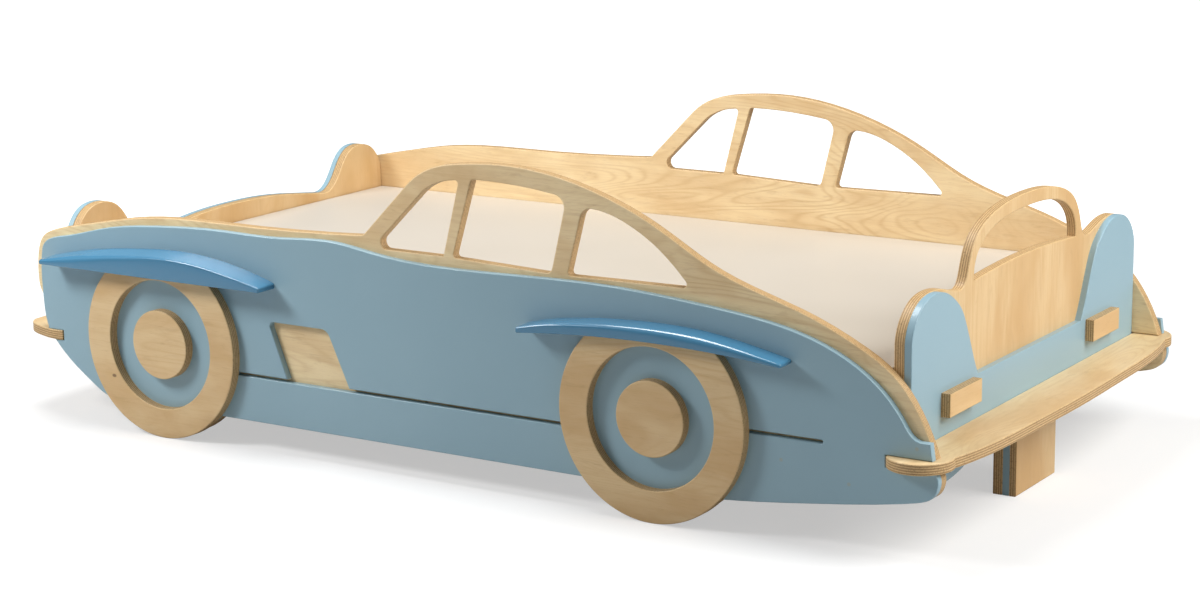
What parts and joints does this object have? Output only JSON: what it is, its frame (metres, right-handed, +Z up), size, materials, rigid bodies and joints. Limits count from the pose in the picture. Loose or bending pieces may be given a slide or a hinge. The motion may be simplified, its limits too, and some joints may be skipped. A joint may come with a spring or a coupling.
{
  "type": "car bed for children",
  "caption": "Low child's bed shaped like an old coupe: flat birch-plywood sides with ring wheels, windows and painted skins, and a loose deck for a mattress.",
  "frame": {"origin": "on the floor under the middle of the bed's overall length and width", "axes": "+X runs along the bed to its tail, +Y to its right side, +Z up"},
  "size_m": [1.952, 1.063, 0.5556],
  "materials": {
    "birch_ply": "clear-lacquered birch plywood, satin",
    "blue_paint": "satin light-blue paint on plywood",
    "flare_paint": "gloss mid-blue paint on plywood",
    "deck_laminate": "smooth cream coated board",
    "spruce": "planed softwood",
    "zinc_steel": "zinc-plated steel"
  },
  "bodies": {
    "bed_frame": {"bolt_inserts": "zinc_steel", "corner_bolts": "zinc_steel", "corner_post_front_left": "spruce", "corner_post_front_right": "spruce", "corner_post_rear_left": "spruce", "corner_post_rear_right": "spruce", "deck_beam_1": "spruce", "deck_beam_2": "spruce", "deck_beam_3": "spruce", "deck_beam_4": "spruce", "deck_beam_5": "spruce", "front_bumper": "birch_ply", "front_bumper_screws": "zinc_steel", "front_inner_panel": "birch_ply", "front_leg_plate": "birch_ply", "front_outer_panel": "blue_paint", "front_rail": "spruce", "hub_disc_front_left": "birch_ply", "hub_disc_front_right": "birch_ply", "hub_disc_rear_left": "birch_ply", "hub_disc_rear_right": "birch_ply", "rail_screws": "zinc_steel", "rear_bumper": "birch_ply", "rear_bumper_screws": "zinc_steel", "rear_inner_panel": "birch_ply", "rear_leg_plate": "birch_ply", "rear_outer_panel": "blue_paint", "rear_rail": "spruce", "side_panel_left": "birch_ply", "side_panel_right": "birch_ply", "side_rail_left": "spruce", "side_rail_right": "spruce", "side_skin_left": "blue_paint", "side_skin_right": "blue_paint", "tail_lamp_left": "birch_ply", "tail_lamp_right": "birch_ply", "tyre_ring_front_left": "birch_ply", "tyre_ring_front_right": "birch_ply", "tyre_ring_rear_left": "birch_ply", "tyre_ring_rear_right": "birch_ply", "wheel_arch_flare_front_left": "flare_paint", "wheel_arch_flare_front_right": "flare_paint", "wheel_arch_flare_rear_left": "flare_paint", "wheel_arch_flare_rear_right": "flare_paint"},
    "deck": {"deck_board": "deck_laminate"}
  },
  "joints": [
    {"name": "deck_lift", "type": "slide", "parent": "bed_frame", "child": "deck", "axis": [0, 0, 1], "range_m": [0, 0.3]}
  ]
}
